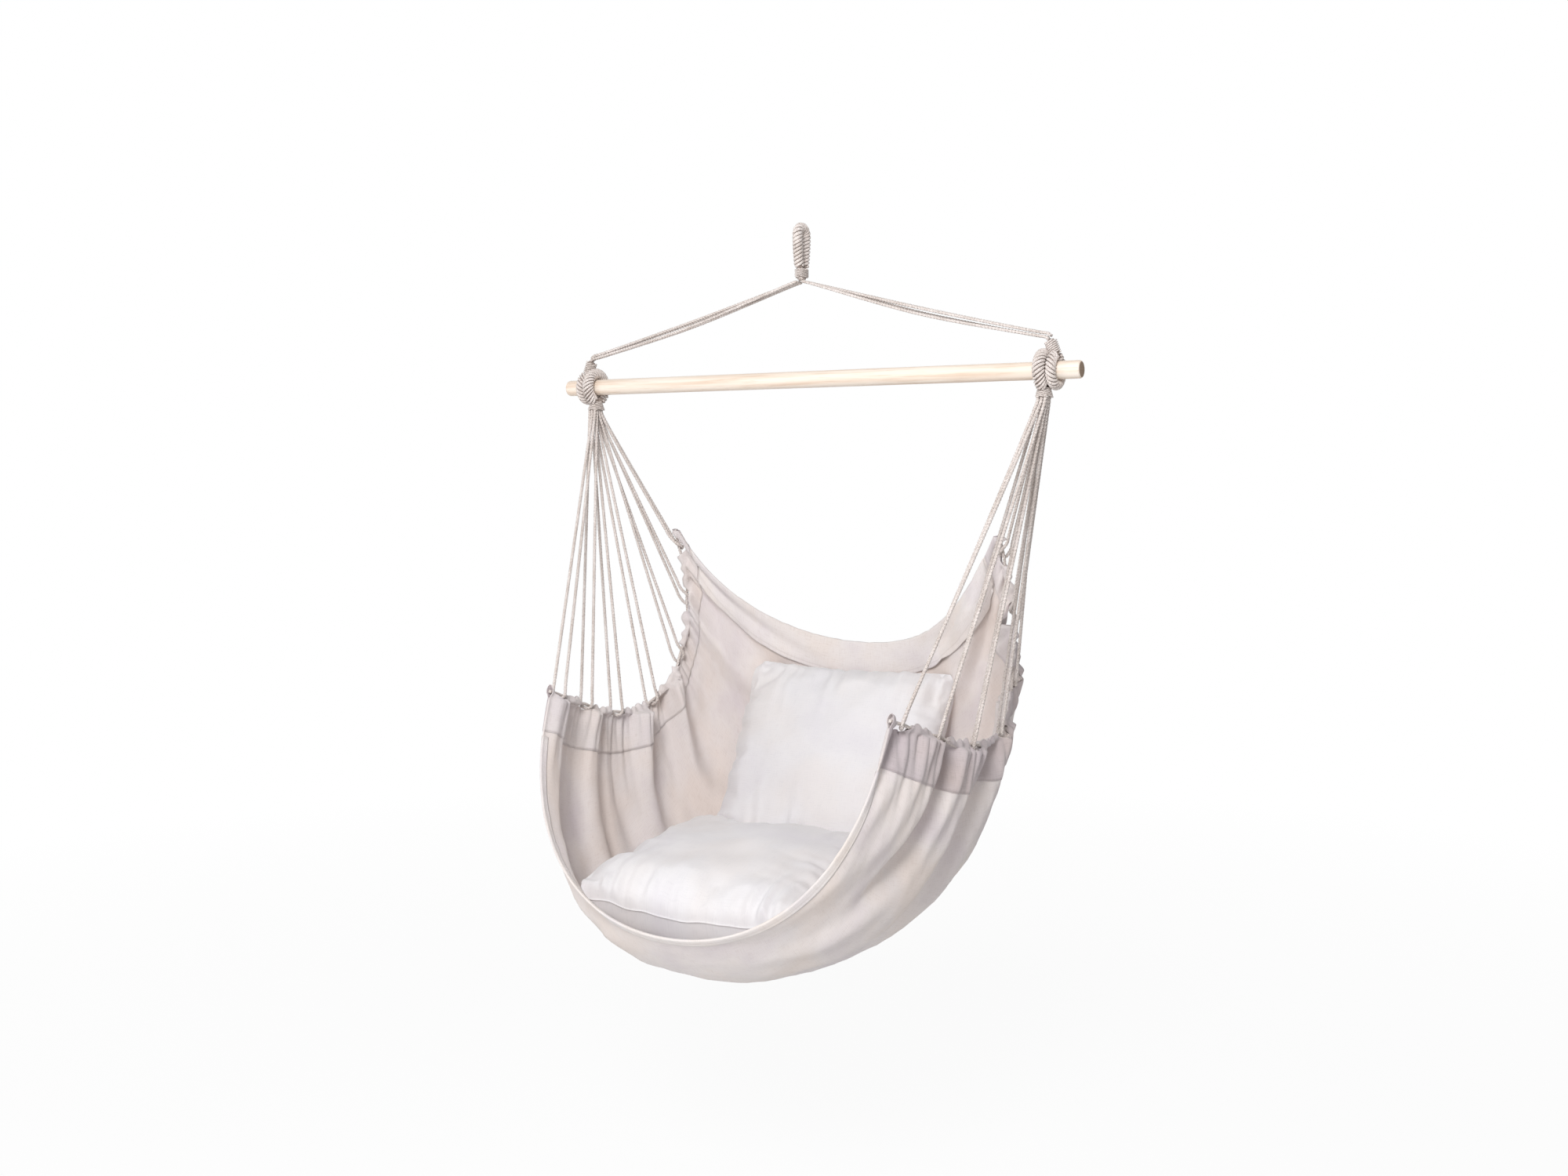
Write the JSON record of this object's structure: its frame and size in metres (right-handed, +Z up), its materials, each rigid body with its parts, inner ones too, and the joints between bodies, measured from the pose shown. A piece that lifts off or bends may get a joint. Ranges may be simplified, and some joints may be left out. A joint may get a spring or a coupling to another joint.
{
  "type": "hammock chair",
  "caption": "Hanging cloth seat with two loose pillows, slung by fans of cord from a wooden spreader bar under a rope eye.",
  "frame": {"origin": "hang point: the inside of the hanging eye's crown, where a hook bears", "axes": "+Z up, +X along the spreader bar, the seat faces -Y"},
  "size_m": [1, 0.646, 1.2258],
  "materials": {
    "wood": "smooth pale wood, unvarnished",
    "cord": "twisted natural cotton cord",
    "canvas": "off-white cotton canvas",
    "pillow_cloth": "white cotton",
    "filling": "soft fibre filling"
  },
  "bodies": {
    "hanging_eye": {"hanging_eye": "cord", "hanging_eye_binding": "cord"},
    "neck": {"neck": "cord", "neck_binding": "cord"},
    "suspension": {"left_suspension_eye": "cord", "left_suspension_eye_binding": "cord", "left_suspension_cord_1": "cord", "left_suspension_cord_2": "cord", "left_suspension_cord_3": "cord", "left_suspension_cord_4": "cord", "right_suspension_eye": "cord", "right_suspension_eye_binding": "cord", "right_suspension_cord_1": "cord", "right_suspension_cord_2": "cord", "right_suspension_cord_3": "cord", "right_suspension_cord_4": "cord"},
    "bar": {"spreader_bar": "wood"},
    "seat": {"left_clew_eye": "cord", "left_clew_eye_binding": "cord", "left_edge_cord": "cord", "left_clew_cord_1": "cord", "left_clew_cord_2": "cord", "left_clew_cord_3": "cord", "left_clew_cord_4": "cord", "left_clew_cord_5": "cord", "left_clew_cord_6": "cord", "left_clew_cord_7": "cord", "left_edge_channel": "canvas", "right_clew_eye": "cord", "right_clew_eye_binding": "cord", "right_edge_cord": "cord", "right_clew_cord_1": "cord", "right_clew_cord_2": "cord", "right_clew_cord_3": "cord", "right_clew_cord_4": "cord", "right_clew_cord_5": "cord", "right_clew_cord_6": "cord", "right_clew_cord_7": "cord", "right_edge_channel": "canvas", "sling": "canvas", "front_hem": "canvas", "back_band": "canvas"},
    "seat_pillow": {"seat_pillow_cover": "pillow_cloth", "seat_pillow_insert": "filling"},
    "back_pillow": {"back_pillow_cover": "pillow_cloth", "back_pillow_insert": "filling"}
  },
  "joints": [
    {"name": "chair_turn", "type": "hinge", "parent": "hanging_eye", "child": "neck", "pos_m": [0, 0, -0.061], "axis": [0, 0, 1], "range_deg": [-60, 60]},
    {"name": "bar_tilt", "type": "hinge", "parent": "neck", "child": "suspension", "pos_m": [0, 0, -0.078], "axis": [0, 1, 0], "range_deg": [-12, 12]},
    {"name": "bar_turn", "type": "hinge", "parent": "suspension", "child": "bar", "pos_m": [0, 0, -0.251], "axis": [1, 0, 0], "continuous": true},
    {"name": "seat_swing", "type": "hinge", "parent": "suspension", "child": "seat", "pos_m": [0, 0, -0.251], "axis": [1, 0, 0], "range_deg": [-20, 20]},
    {"name": "seat_pillow_lift", "type": "slide", "parent": "seat", "child": "seat_pillow", "axis": [0, -0.5446, 0.8387], "range_m": [0, 0.3]},
    {"name": "back_pillow_lift", "type": "slide", "parent": "seat", "child": "back_pillow", "axis": [0, -0.3584, 0.9336], "range_m": [0, 0.3]}
  ]
}
